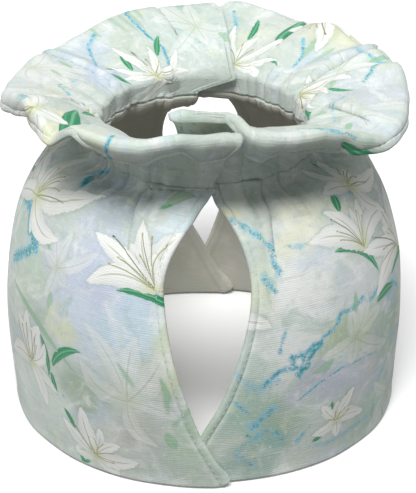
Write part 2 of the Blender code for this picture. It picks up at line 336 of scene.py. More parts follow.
def frillPoint(across, part, share, isLeft, lift=0.0):
    ends = endsOf(isLeft)
    foot = cover["seamHeight"] + cover["seamGap"]
    top = foot + frill["casing"]
    footBearing = mixed(ends[0], ends[3], across)
    topBearing = mixed(ends[1], ends[4], across)
    crestBearing = mixed(ends[2], ends[5], across)
    # casing
    slid = np.maximum(0, share - frill["casingFoot"]) / (1 - frill["casingFoot"])
    casingBearing = mixed(footBearing, topBearing, slid)
    casingRadius = cover["neckRadius"] + lapShift(casingBearing, isLeft) + neckFolds(casingBearing)
    casingRadius = casingRadius + fineFolds(casingBearing)
    casing = polar(casingBearing, casingRadius - lift, mixed(foot, top, share))
    # flare and rim
    along = np.where(part == 1, share, 1.0)
    bearing = mixed(topBearing, crestBearing, along)
    reach, height, droop, turn = crestOf(isLeft, crestBearing)
    neck = cover["neckRadius"] + lapShift(bearing, isLeft)
    bendRadius, bendHeight = mixed(neck, reach, frill["reach"]), mixed(top, height, frill["rise"])
    r = mixed(mixed(neck, bendRadius, along), mixed(bendRadius, reach, along), along)
    z = mixed(mixed(top, bendHeight, along), mixed(bendHeight, height, along), along)
    r = r + lapShift(bearing, isLeft) * frill["spread"] * 4 * along * (1 - along)
    grown, gone = frill["puckerSpan"]
    r = r + neckFolds(bearing) * mixed(1.0, frill["pucker"], ease(along / grown)) * (1 - ease(along / gone))
    grown, gone = frill["fineSpan"]
    r = r + fineFolds(bearing) * (1.0 + frill["finePucker"] * ease(along / grown)) * (1 - ease(along / gone))
    # how steeply the cloth falls, for what lifts its printed side
    falling = np.arctan2((1 - along) * (top - bendHeight) + along * (bendHeight - height),
                         (1 - along) * (bendRadius - neck) + along * (reach - bendRadius))
    # the rim goes on in the flare's direction, rolls over and hangs
    hung = np.where(part == 2, np.clip(share, 0, 1), 0.0)
    start = -frill["rimStart"] * np.arctan2(height - bendHeight, reach - bendRadius)
    swing = np.radians(turn) * frill["curl"] - start
    steps = frill["rimSteps"]
    for step in (np.arange(steps) + 0.5) / steps:
        angle = start + swing * (1 - (1 - hung * step) ** frill["tuck"])
        r = r + droop * hung / steps * np.cos(angle)
        z = z - droop * hung / steps * np.sin(angle)
    angle = start + swing * (1 - (1 - hung) ** frill["tuck"])
    falling = np.where(part == 2, angle, falling)
    r, z = r + lift * np.sin(falling), z + lift * np.cos(falling)
    return np.where((part == 0)[..., None], casing, polar(bearing, r, z))


def gridOf(name, columns, rows):    # a flat cloth, cell by cell
    bpy.ops.object.select_all(action="DESELECT")
    bpy.ops.mesh.primitive_grid_add(x_subdivisions=columns, y_subdivisions=rows, size=1)
    cloth = bpy.context.object
    cloth.name = cloth.data.name = name
    places = np.empty(len(cloth.data.vertices) * 3)
    cloth.data.vertices.foreach_get("co", places)
    places = places.reshape(-1, 3)
    column = np.rint((places[:, 0] + 0.5) * columns).astype(int)
    row = np.rint((places[:, 1] + 0.5) * rows).astype(int)
    return cloth, column, row


def denseEnds(count, length, atEnd=True):    # finer cells towards a hem, so its edge is round
    start = np.array([0, 0.14, 0.42, 0.85, 1.4, 2.1, 2.9, 3.7])
    end = length - (start if atEnd else start[:1])[::-1]
    middle = np.linspace(start[-1], end[0], count + 3 - len(start) - len(end))[1:-1]
    return np.concatenate([start, middle, end])


def thickened(cloth, thickness, turnOver, reverse):
    if turnOver:    # the printed side faces out
        bpy.ops.object.mode_set(mode="EDIT")
        bpy.ops.mesh.select_all(action="SELECT")
        bpy.ops.mesh.flip_normals()
        bpy.ops.object.mode_set(mode="OBJECT")
    group = cloth.vertex_groups.new(name="edge")
    for i, weight in enumerate(thickness):
        group.add([i], float(weight), "REPLACE")
    cloth.data.materials.append(outsideMaterial)
    cloth.data.materials.append(reverse)
    wadding = cloth.modifiers.new("Wadding", "SOLIDIFY")
    wadding.thickness = cover["cloth"] * mm
    wadding.offset = 0
    wadding.vertex_group = "edge"
    wadding.material_offset = 1
    bpy.ops.object.modifier_apply(modifier="Wadding")
    bpy.ops.object.shade_smooth()


def roundness(distance):    # share of the cloth's thickness at a distance from its edge
    t = np.clip(distance / cover["roundEdge"], 0, 1)
    return np.maximum(cover["edgeShare"], np.sqrt(1 - (1 - t) ** 2))


def setPlaces(cloth, places):
    cloth.data.vertices.foreach_set("co", places.ravel())
    cloth.data.update()


def setFlat(cloth, flat):    # the flat pattern in millimetres, as the cloth's own UV map
    layer = cloth.data.uv_layers[0]
    layer.name = "flat"
    corner = np.empty(len(cloth.data.loops), int)
    cloth.data.loops.foreach_get("vertex_index", corner)
    layer.data.foreach_set("uv", flat[corner].ravel())


def colour(code):    # an sRGB hex colour as linear light
    parts = [int(code[i:i + 2], 16) / 255 for i in (1, 3, 5)]
    return [p / 12.92 if p <= 0.04045 else ((p + 0.055) / 1.055) ** 2.4 for p in parts] + [1.0]


def add(tree, kind, inputs, **settings):    # one node, with its settings and what feeds it
    made = tree.nodes.new("ShaderNode" + kind)
    for name, value in settings.items():
        setattr(made, name, value)
    for socket, value in inputs.items():
        if isinstance(value, bpy.types.Node):
            value = next(out for out in value.outputs if out.enabled)
        if isinstance(value, bpy.types.NodeSocket):
            tree.links.new(value, made.inputs[socket])
        else:
            made.inputs[socket].default_value = value
    return made


def newMaterial(name):
    material = bpy.data.materials.new(name)
    material.use_nodes = True
    tree = material.node_tree
    return material, tree, tree.nodes["Principled BSDF"]


# each layer: what it follows, from, to, its least and most share, its colour
def layered(tree, ground, layers):
    for measure, low, high, least, most, paint in layers:
        share = add(tree, "MapRange", {0: measure, 1: low, 2: high, 3: least, 4: most},
                    interpolation_type="SMOOTHSTEP")
        paint = colour(paint) if isinstance(paint, str) else paint
        ground = add(tree, "Mix", {0: share, 6: ground, 7: paint}, data_type="RGBA")
    return ground


# a drawn shape's own coordinates: along it, across it, off its middle, inside its outline, tone, roughness
def bladeFields(tree, name, flat, fray):
    source = add(tree, "Attribute", {}, attribute_name=name)
    parts = add(tree, "SeparateXYZ", {0: source.outputs["Color"]})
    rough = add(tree, "TexNoise", {0: flat, "Scale": 0.62, "Detail": 3.0, "Roughness": 0.6})
    inside = add(tree, "Math", {0: rough, 1: fray, 2: parts.outputs[2]}, operation="MULTIPLY_ADD")
    inside = add(tree, "Math", {0: inside, 1: fray * 0.5}, operation="SUBTRACT")
    middle = add(tree, "Math", {0: parts.outputs[1]}, operation="ABSOLUTE")
    return parts.outputs[0], parts.outputs[1], middle, inside, source.outputs["Alpha"], rough


def paintPetals(tree, ground, name, strength, flat):
    along, side, middle, inside, tone, rough = bladeFields(tree, name, flat, 2.2)
    ribs = add(tree, "Math", {0: side, 1: 23.0, 2: rough}, operation="MULTIPLY_ADD")
    ribs = add(tree, "Math", {0: ribs}, operation="SINE")
    ribPlace = add(tree, "MapRange", {0: along, 1: 0.9, 2: 0.6}, interpolation_type="SMOOTHSTEP")
    rib = add(tree, "MapRange", {0: middle, 1: 0.13, 2: 0.03})
    rib = add(tree, "Math", {0: rib, 1: ribPlace}, operation="MULTIPLY")
    dots = add(tree, "TexVoronoi", {0: flat, "Scale": 0.9, "Randomness": 1.0})
    dots = add(tree, "Math", {0: add(tree, "MapRange", {0: dots, 1: 0.24, 2: 0.12}),
                              1: add(tree, "MapRange", {0: along, 1: 0.55, 2: 0.35})}, operation="MULTIPLY")
    face = layered(tree, colour("#f4f5f2"), (
        (tone, 0.0, 1.0, 0.0, 1.0, "#d0d6cf"),
        (side, 0.0, 0.9, 0.0, 0.34, "#c3cdc6"),
        (side, -0.35, -0.95, 0.0, 0.25, "#dfe2d2"),
        (ribs, 0.3, 1.0, 0.0, 0.22, "#c6cec4"),
        (along, 0.30, 0.02, 0.0, 0.55, "#c3cb8c"),
        (rib, 0.0, 1.0, 0.0, 0.5, "#939a62"),
        (dots, 0.0, 1.0, 0.0, 0.5, "#a39a76"),
        (inside, 0.7, 0.0, 0.0, 0.26, "#c2cbc4"),
    ))
    around = layered(tree, ground, ((inside, -1.9, 0.1, 0.0, 0.2 * strength, "#93a49c"),))
    return layered(tree, around, ((inside, -0.12, 0.16, 0.0, strength, face),))


def paintLeaves(tree, ground, name, flat):
    _, side, middle, inside, tone, rough = bladeFields(tree, name, flat, 0.8)
    ribs = add(tree, "Math", {0: side, 1: 8.0, 2: rough}, operation="MULTIPLY_ADD")
    ribs = add(tree, "Math", {0: ribs}, operation="SINE")
    depth = add(tree, "MapRange", {0: tone, 1: 0.0, 2: 0.6, 3: 0.5, 4: 0.97})
    face = layered(tree, colour("#b5cfae"), (
        (tone, 0.0, 0.5, 0.0, 1.0, "#74b389"),
        (tone, 0.5, 1.0, 0.0, 1.0, "#2c8a60"),
        (ribs, 0.1, 1.0, 0.0, 0.4, "#63bb8c"),
        (middle, 0.22, 0.05, 0.0, 0.6, "#86cba1"),
        (middle, 0.7, 1.0, 0.0, 0.35, "#1f7350"),
    ))
    around = layered(tree, ground, ((inside, -1.0, 0.2, 0.0, 0.2, "#7f9c8c"),))
    drawn = add(tree, "MapRange", {0: inside, 1: -0.1, 2: 0.15})
    drawn = add(tree, "Math", {0: drawn, 1: depth}, operation="MULTIPLY")
    return layered(tree, around, ((drawn, 0.0, 1.0, 0.0, 1.0, face),))


def paintStamens(tree, ground, name, flat):
    along, _, away, anther, tone, _ = bladeFields(tree, name, flat, 0.1)
    inRange = add(tree, "Math", {0: add(tree, "MapRange", {0: along, 1: 0.0, 2: 0.08}),
                                 1: add(tree, "MapRange", {0: along, 1: 1.0, 2: 0.94})}, operation="MULTIPLY")
    line = add(tree, "MapRange", {0: away, 1: 0.36, 2: 0.12})
    line = add(tree, "Math", {0: line, 1: inRange}, operation="MULTIPLY")
    stalk = layered(tree, colour("#a9a860"), ((tone, 0.0, 1.0, 0.0, 1.0, "#5f6852"),))
    head = layered(tree, colour("#b5a64e"), ((tone, 0.2, 1.0, 0.0, 1.0, "#4f4c3c"),))
    return layered(tree, ground, ((line, 0.0, 1.0, 0.0, 0.85, stalk), (anther, -0.15, 0.12, 0.0, 0.9, head)))


def printedCotton():
    # Plain woven cotton with a printed face, padded: matt, a soft sheen at grazing angles, a faint rib of
    # threads. Noise scales are per mm of the flat cloth
    material, tree, shader = newMaterial("printedCotton")
    flat = add(tree, "UVMap", {}, uv_map="flat")
    # the print's washes, with painted shade under the frill and on its front rim
    washAndShade = add(tree, "Attribute", {}, attribute_name="washAndShade")
    cloud = add(tree, "TexNoise", {0: flat, "Scale": 0.05, "Detail": 8.0, "Roughness": 0.66,
                                   "Distortion": 1.1})
    hue = add(tree, "TexNoise", {0: flat, "Scale": 0.031, "Detail": 6.0, "Roughness": 0.6, "Distortion": 1.6})
    brush = add(tree, "Mapping", {0: flat, 1: (70, 30, 0), 2: (0, 0, radians(38)), 3: (0.035, 0.19, 1.0)})
    brush = add(tree, "TexNoise", {0: brush, "Scale": 1.0, "Detail": 7.0, "Roughness": 0.68,
                                   "Distortion": 0.7})
    mottle = add(tree, "TexNoise", {0: flat, "Scale": 0.42, "Detail": 6.0, "Roughness": 0.72})
    fine = add(tree, "TexNoise", {0: flat, "Scale": 1.5, "Detail": 3.0, "Roughness": 0.6})
    ground = layered(tree, washAndShade, (
        (hue, 0.54, 0.66, 0.0, 0.45, "#c9d6ea"),
        (hue, 0.44, 0.34, 0.0, 0.42, "#e2e5c8"),
        (cloud, 0.50, 0.68, 0.0, 0.60, "#f3f5f4"),
        (cloud, 0.47, 0.33, 0.0, 0.50, "#a2bcae"),
        (brush, 0.54, 0.72, 0.0, 0.42, "#f4f6f5"),
        (brush, 0.45, 0.32, 0.0, 0.30, "#aab9bc"),
        (mottle, 0.53, 0.72, 0.0, 0.55, "#f3f5f3"),
        (mottle, 0.46, 0.28, 0.0, 0.34, "#9eb3a9"),
        (fine, 0.42, 0.25, 0.0, 0.25, "#a9bbb4"),
    ))
    # veins of blue and teal ink: a net of cracks 1.6 mm apart, with grains about a millimetre across in it
    vein = add(tree, "SeparateXYZ", {0: add(tree, "Attribute", {}, attribute_name="vein")})
    grain = add(tree, "TexNoise", {0: flat, "Scale": 0.80, "Detail": 4.0, "Roughness": 0.7, "Distortion": 0.9})
    bleed = add(tree, "TexNoise", {0: flat, "Scale": 0.16, "Detail": 5.0, "Roughness": 0.6})
    shake = add(tree, "TexNoise", {0: flat, "Scale": 0.33, "Detail": 3.0, "Roughness": 0.6})
    torn = add(tree, "VectorMath", {0: shake.outputs[1], 1: (4.0, 4.0, 0.0), 2: flat},
               operation="MULTIPLY_ADD")
    crackle = add(tree, "TexVoronoi", {0: torn, "Scale": 0.62, "Randomness": 1.0}, feature="DISTANCE_TO_EDGE")
    web = add(tree, "MapRange", {0: crackle, 1: 0.02, 2: 0.26, 3: 1.0, 4: 0.0})
    near = add(tree, "Math", {0: mottle, 1: 1.3, 2: vein}, operation="MULTIPLY_ADD")
    near = add(tree, "MapRange", {0: near, 1: 0.92, 2: 1.32})
    net = add(tree, "Math", {0: near, 1: web}, operation="MULTIPLY")
    amount = add(tree, "Math", {0: vein, 1: grain}, operation="ADD")
    spread = add(tree, "Math", {0: bleed, 1: 1.5, 2: vein}, operation="MULTIPLY_ADD")
    clumps = add(tree, "Math", {0: bleed, 1: 0.9, 2: amount}, operation="MULTIPLY_ADD")
    ink = layered(tree, colour("#3a96cc"), (
        (vein.outputs[1], 0.1, 1.0, 0.0, 1.0, "#1f928c"),
        (bleed, 0.46, 0.56, 0.0, 0.75, "#2aa3ba"),
        (mottle, 0.46, 0.58, 0.0, 0.7, "#279488"),
    ))
    ground = layered(tree, ground, (
        (spread, 0.94, 1.34, 0.0, 0.70, "#a6d0dd"),
        (clumps, 1.28, 1.56, 0.0, 0.62, "#7fc0d2"),
        (net, 0.05, 0.8, 0.0, 0.85, ink),
        (clumps, 1.54, 1.72, 0.0, 0.80, ink),
    ))
    painted = paintPetals(tree, ground, "ghost", 0.42, flat)
    painted = paintLeaves(tree, painted, "leaf", flat)
    painted = paintPetals(tree, painted, "petalUnder", 0.95, flat)
    painted = paintPetals(tree, painted, "petalOver", 0.97, flat)
    painted = paintStamens(tree, painted, "stamen", flat)
    finishCloth(tree, shader, flat, painted)
    return material


def finishCloth(tree, shader, flat, painted):
    # threads 0.9 mm apart: the real ones, about 0.4 mm, are too fine to show
    split = add(tree, "SeparateXYZ", {0: flat})
    wander = add(tree, "TexNoise", {0: flat, "Scale": 0.10, "Detail": 2.0})
    worn = add(tree, "TexNoise", {0: flat, "Scale": 0.06, "Detail": 4.0, "Roughness": 0.6})
    turns = 6.98    # radians of a sine per mm
    rows = add(tree, "Math", {0: split.outputs[1], 1: turns}, operation="MULTIPLY")
    rows = add(tree, "Math", {0: wander, 1: 9.0, 2: rows}, operation="MULTIPLY_ADD")
    weft = add(tree, "Math", {0: rows}, operation="SINE")
    warp = add(tree, "Math", {0: split.outputs[0], 1: turns}, operation="MULTIPLY")
    warp = add(tree, "Math", {0: warp}, operation="SINE")
    slubPlace = add(tree, "Mapping", {0: flat, 3: (0.16, 1.1, 1.0)})
    slub = add(tree, "TexNoise", {0: slubPlace, "Scale": 1.0, "Detail": 3.0, "Roughness": 0.6})
    warp = add(tree, "Math", {0: warp, 1: 0.2}, operation="MULTIPLY")
    weave = add(tree, "Math", {0: weft, 1: 0.5, 2: warp}, operation="MULTIPLY_ADD")
    worn = add(tree, "MapRange", {0: worn, 1: 0.35, 2: 0.65, 3: 0.25, 4: 1.0})
    weave = add(tree, "Math", {0: weave, 1: worn}, operation="MULTIPLY")
    height = add(tree, "Math", {0: slub, 1: 2.0, 2: weave}, operation="MULTIPLY_ADD")
    # painted shade in the hollows of the weave and painted highlight on its raised threads, from the same
    # height as the bump
    threadShadeAndHighlight = layered(tree, painted, (
        (height, 0.9, -0.3, 0.0, 0.13, "#7e8682"),
        (height, 1.2, 2.0, 0.0, 0.12, "#ffffff"),
    ))
    tree.links.new(threadShadeAndHighlight.outputs[2], shader.inputs["Base Color"])
    relief = add(tree, "Bump", {"Height": height, "Strength": 0.22, "Distance": 0.0003})
    tree.links.new(relief.outputs[0], shader.inputs["Normal"])
    shader.inputs["Roughness"].default_value = 0.88
    shader.inputs["IOR"].default_value = 1.5
    shader.inputs["Sheen Weight"].default_value = 0.2
    shader.inputs["Sheen Roughness"].default_value = 0.5
    shader.inputs["Specular IOR Level"].default_value = 0.25


def cottonReverse():
    # The unprinted back of the same cloth, and the plain cloth inside: warm grey, the print faintly through
    material, tree, shader = newMaterial("cottonReverse")
    flat = add(tree, "UVMap", {}, uv_map="flat")
    # the print's washes, with painted shade under the frill and on its front rim
    washAndShade = add(tree, "Attribute", {}, attribute_name="washAndShade")
    cloud = add(tree, "TexNoise", {0: flat, "Scale": 0.05, "Detail": 6.0, "Roughness": 0.6})
    plain = layered(tree, washAndShade, (
        (cloud, 0.30, 0.70, 0.60, 0.85, "#c4beb1"),
        (cloud, 0.52, 0.70, 0.0, 0.5, "#dad8d0"),
    ))
    finishCloth(tree, shader, flat, plain)
    return material


# The print is drawn on the cloth's flat pattern, in mm: x is round the cover from its front, y is up from
# the hem, and the frill's pattern starts at y 150. A spray's own zero is its throat.
# petals: angle, length, half width, bend, shade; leaves: x, y, angle, length, half width, bend, depth of
# green; stamens: angle, length, bend, darkness
sprays = {
    "tall": {
        "under": ((95, 27, 4.2, 0.10, 0.30), (150, 31, 4.4, 0.08, 0.35), (-60, 17, 3.6, 0.12, 0.20),
                  (58, 20, 3.5, 0.0, 0.35)),
        "over": ((22, 48, 5.3, -0.06, 0.05), (-12, 34, 4.6, -0.16, 0.10), (203, 29, 4.4, -0.08, 0.15)),
        "leaves": (),
        "stamens": ((30, 17, 0.15, 0.3), (48, 18, 0.12, 0.2), (62, 16, 0.10, 0.3), (78, 15, 0.1, 0.2),
                    (14, 25, 0.05, 0.6), (100, 14, -0.1, 0.3)),
    },
    "curl": {
        "under": ((112, 28, 4.4, 0.05, 0.22), (130, 22, 4.2, 0.0, 0.30), (62, 26, 5.4, 0.20, 0.10),
                  (36, 20, 3.0, -0.20, 0.15)),
        "over": ((186, 33, 4.6, -0.17, 0.0), (153, 38, 3.9, -0.04, 0.0), (96, 15, 3.4, 0.06, 0.05)),
        "leaves": ((-17.0, -2.2, -17, 31, 2.0, 0.14, 1.0),),
        "stamens": ((123, 15, -0.06, 0.5), (80, 18, 0.20, 0.2), (113, 22, 0.0, 0.5), (101, 20, 0.03, 0.4),
                    (152, 21, -0.07, 0.5), (163, 23, -0.07, 0.4), (143, 29, -0.04, 0.9)),
    },
    "open": {
        "under": ((66, 21, 4.2, 0.05, 0.25), (92, 18, 3.6, 0.0, 0.30)),
        "over": ((160, 35, 4.6, -0.13, 0.0), (129, 28, 4.0, -0.07, 0.0), (6, 30, 4.6, 0.22, 0.05)),
        "leaves": ((-20.0, 5.2, -38, 34, 2.3, 0.19, 1.0), (26.0, -9.0, -64, 12, 2.4, 0.05, 0.95)),
        "stamens": ((132, 23, -0.05, 0.9), (141, 19, -0.07, 0.5), (150, 17, -0.07, 0.4), (76, 15, 0.1, 0.3),
                    (60, 13, 0.1, 0.3)),
    },
    "tip": {
        "over": ((-10, 18, 3.4, 0.12, 0.15),),
        "leaves": ((1.0, -6.0, 30, 13, 0.5, 0.1, 0.8),),
    },
    "side": {
        "under": ((99, 23, 4.2, 0.05, 0.25), (-22, 21, 2.2, 0.05, 0.15), (196, 24, 4.2, -0.10, 0.25),
                  (122, 22, 3.5, 0.0, 0.30)),
        "over": ((70, 21, 5.3, 0.05, 0.05), (50, 18, 3.2, -0.16, 0.05), (-57, 21, 3.2, 0.10, 0.10)),
        "leaves": ((16.0, 5.0, 38, 23, 2.3, 0.14, 0.85), (8.0, 17.0, -74, 20, 1.7, 0.10, 0.95),
                   (-18.0, 29.0, -24, 54, 1.5, 0.05, 0.22), (15.0, 2.0, -72, 11, 1.5, 0.0, 0.9)),
        "stamens": ((120, 15, 0.10, 0.8), (104, 16, 0.05, 0.7), (88, 14, -0.05, 0.9), (76, 12, -0.10, 0.8),
                    (132, 17, 0.10, 0.6), (64, 10, -0.10, 0.7)),
    },
    "star": {
        "under": ((80, 15, 2.9, -0.06, 0.12), (-32, 13, 3.7, 0.05, 0.25), (188, 12, 4.2, -0.06, 0.25),
                  (128, 13, 2.8, 0.0, 0.20)),
        "over": ((107, 23, 4.1, 0.06, 0.0), (6, 20, 3.7, -0.06, 0.0), (148, 22, 2.7, 0.05, 0.05),
                 (36, 15, 3.0, 0.1, 0.05)),
        "leaves": ((-17.0, 16.5, -52, 11, 1.2, 0.05, 1.0), (-8.5, 18.0, -66, 8, 0.9, 0.0, 1.0),
                   (-9.0, -3.5, -15, 6, 1.8, -0.1, 0.9)),
        "stamens": ((112, 9, 0.10, 0.1), (92, 8, -0.10, 0.1), (60, 8, 0.10, 0.1), (24, 9, 0.08, 0.1),
                    (-8, 8, -0.10, 0.1), (76, 6, 0.0, 0.3), (135, 14, 0.03, 0.7)),
    },
    "smallStar": {
        "under": ((128, 13, 2.6, 0.05, 0.12), (-85, 9, 2.9, 0.05, 0.12), (16, 11, 2.6, 0.0, 0.12),
                  (90, 10, 2.4, 0.0, 0.15)),
        "over": ((53, 16, 2.7, 0.05, 0.0), (-12, 18, 2.8, 0.08, 0.0), (195, 13, 2.4, 0.12, 0.05)),
        "leaves": ((-3.0, 5.0, 86, 6, 0.9, 0.0, 1.0), (-6.5, -3.5, 208, 7, 1.2, 0.1, 0.95),
                   (4.0, 9.0, 66, 4, 0.5, 0.0, 0.9)),
        "stamens": ((42, 6, 0.1, 0.1), (20, 7, -0.1, 0.1), (96, 4, 0.1, 0.1), (160, 5, 0.0, 0.2)),
    },
    "paleTall": {
        "ghost": ((125, 37, 3.8, -0.10, 0.0), (84, 30, 5.2, 0.05, 0.0), (58, 28, 5.6, -0.05, 0.1),
                  (-19, 23, 3.0, 0.10, 0.0), (-58, 24, 3.2, -0.20, 0.0), (150, 26, 4.6, 0.16, 0.2)),
        "leaves": ((3.0, 7.0, 128, 13, 1.0, 0.0, 0.15), (17.0, 2.0, 108, 13, 1.2, 0.0, 0.20)),
    },
    "paleOpen": {
        "ghost": ((17, 21, 3.8, 0.06, 0.1), (-29, 32, 3.6, -0.06, 0.0), (189, 19, 4.0, 0.10, 0.1),
                  (98, 14, 3.4, 0.0, 0.0), (58, 19, 4.0, -0.05, 0.1), (-100, 12, 4.0, 0.0, 0.2)),
        "leaves": ((-12.0, -5.0, 200, 11, 2.0, 0.1, 0.15), (1.0, 11.0, 80, 9, 1.4, 0.0, 0.25)),
    },
    "burst": {    # seen from above, long and narrow: the frill's lilies
        "under": ((20, 24, 2.4, 0.08, 0.10), (80, 22, 2.2, -0.06, 0.15), (150, 26, 2.4, 0.08, 0.10),
                  (230, 20, 2.4, 0.05, 0.15)),
        "over": ((50, 28, 2.6, -0.08, 0.0), (112, 27, 2.8, 0.06, 0.0), (186, 22, 2.8, -0.10, 0.0),
                 (-30, 20, 2.4, 0.08, 0.05)),
        "leaves": ((6.0, 16.0, 62, 15, 1.3, 0.06, 0.9), (-13.0, 6.0, 158, 15, 1.1, -0.06, 0.95)),
        "stamens": ((40, 13, 0.08, 0.5), (66, 14, 0.04, 0.3), (96, 13, -0.06, 0.5), (126, 12, 0.08, 0.3),
                    (160, 10, 0.0, 0.4), (12, 11, -0.06, 0.3)),
    },
}

# spray, x, y, turn, size and side: -1 is a mirror image
placements = (
    ("tall", -106, 104, 0, 1.0, 1), ("curl", -20, 89, 0, 1.0, 1), ("side", -85, 37, 0, 1.0, 1),
    ("star", -46, 8, 0, 1.0, 1), ("paleTall", -30, 40, 0, 1.0, 1), ("paleOpen", -70, 86, 60, 0.8, 1),
    ("tall", 93, 114, -32, 0.72, 1), ("open", 83, 90, 0, 1.0, 1), ("curl", 119, 74, 6, 1.1, 1),
    ("tip", 11, 75, 0, 1.0, 1), ("paleOpen", 68, 56, 0, 1.0, 1), ("smallStar", 59, 20, 0, 1.0, 1),
    ("paleTall", 100, 14, 160, 0.9, 1),
    # round the sides and the back
    ("star", -128, 16, 20, 1.15, 1), ("paleTall", -150, 66, 30, 1.0, -1), ("side", -164, 44, 10, 1.0, -1),
    ("tall", -196, 100, 10, 0.85, -1), ("curl", -236, 92, 0, 1.0, 1), ("smallStar", -206, 24, 30, 1.2, 1),
    ("paleOpen", -240, 40, 0, 1.1, -1), ("star", -262, 14, 0, 1.0, -1), ("paleTall", -216, 64, -20, 0.9, 1),
    ("smallStar", -140, 112, 0, 1.0, -1), ("paleOpen", -118, 56, 20, 1.0, 1), ("side", 158, 38, 0, 1.0, -1),
    ("paleOpen", 128, 40, 10, 1.0, -1), ("star", 186, 12, 10, 1.1, -1), ("tall", 178, 104, 0, 0.85, 1),
    ("curl", 228, 88, 6, 1.0, -1), ("paleTall", 206, 52, 0, 1.0, -1), ("smallStar", 146, 96, 15, 1.2, 1),
    ("star", 250, 22, 0, 1.0, 1), ("paleOpen", 258, 60, 0, 1.0, 1),
    # the frill
    ("burst", -206, 160, 14, 1.12, -1), ("smallStar", -104, 168, 30, 0.9, 1),
    ("tall", -84, 202, -10, 0.55, -1), ("burst", 221, 164, 8, 1.05, 1), ("burst", 150, 163, 62, 0.95, 1),
    ("tall", 206, 205, 200, 0.5, 1), ("paleOpen", 160, 186, 0, 1.0, 1), ("paleTall", -110, 190, 180, 0.9, 1),
    ("paleOpen", 100, 186, 90, 1.0, 1), ("paleTall", -20, 190, 200, 0.7, -1),
    ("paleOpen", -250, 190, 0, 1.0, 1), ("paleTall", -160, 200, 190, 0.8, 1),
)

# leaves by themselves: x, y, angle, length, half width, bend, depth of green
looseLeaves = (
    (-22, 121, 24, 19, 3.2, 0.10, 0.12), (-24, 119, 30, 12, 1.2, 0.0, 0.5), (95, 135, -82, 17, 2.2, 0.0, 1.0),
    (78, 116, -118, 9, 2.6, 0.0, 0.95), (98, 80, -40, 13, 2.4, 0.0, 0.95), (84, 65, -4, 19, 2.3, 0.12, 0.9),
    (-14, 36, 96, 14, 1.0, 0.0, 0.15), (-10, 33, 52, 14, 0.9, 0.0, 0.15), (-13, 30, 50, 13, 0.8, 0.0, 0.15),
    (-15, 27, -60, 9, 2.2, 0.0, 0.2), (-58, 201, 213, 33, 4.6, 0.0, 1.0),
    (214, 203, -110, 22, 3.6, 0.05, 0.9), (58, 207, 6, 18, 2.2, 0.05, 0.95),
    (-200, 184, -66, 14, 1.7, 0.0, 0.95), (-178, 174, -106, 17, 2.0, 0.08, 0.95),
    (-217, 205, -84, 12, 0.8, 0.0, 0.12), (-221, 205, -86, 13, 0.8, 0.0, 0.12),
    (-225, 205, -88, 12, 0.8, 0.0, 0.12), (-229, 206, -84, 9, 0.8, 0.0, 0.12),
    (-208, 206, -70, 10, 0.7, 0.0, 0.12), (-88, 172, 60, 12, 2.0, 0.0, 0.9),
    (186, 196, 250, 18, 1.4, 0.0, 0.15), (196, 198, 245, 18, 1.4, 0.0, 0.15),
    (120, 156, 20, 15, 1.4, 0.1, 0.9), (256, 203, -90, 16, 1.6, 0.0, 0.25),
    (261, 203, -95, 16, 1.4, 0.0, 0.25),
)
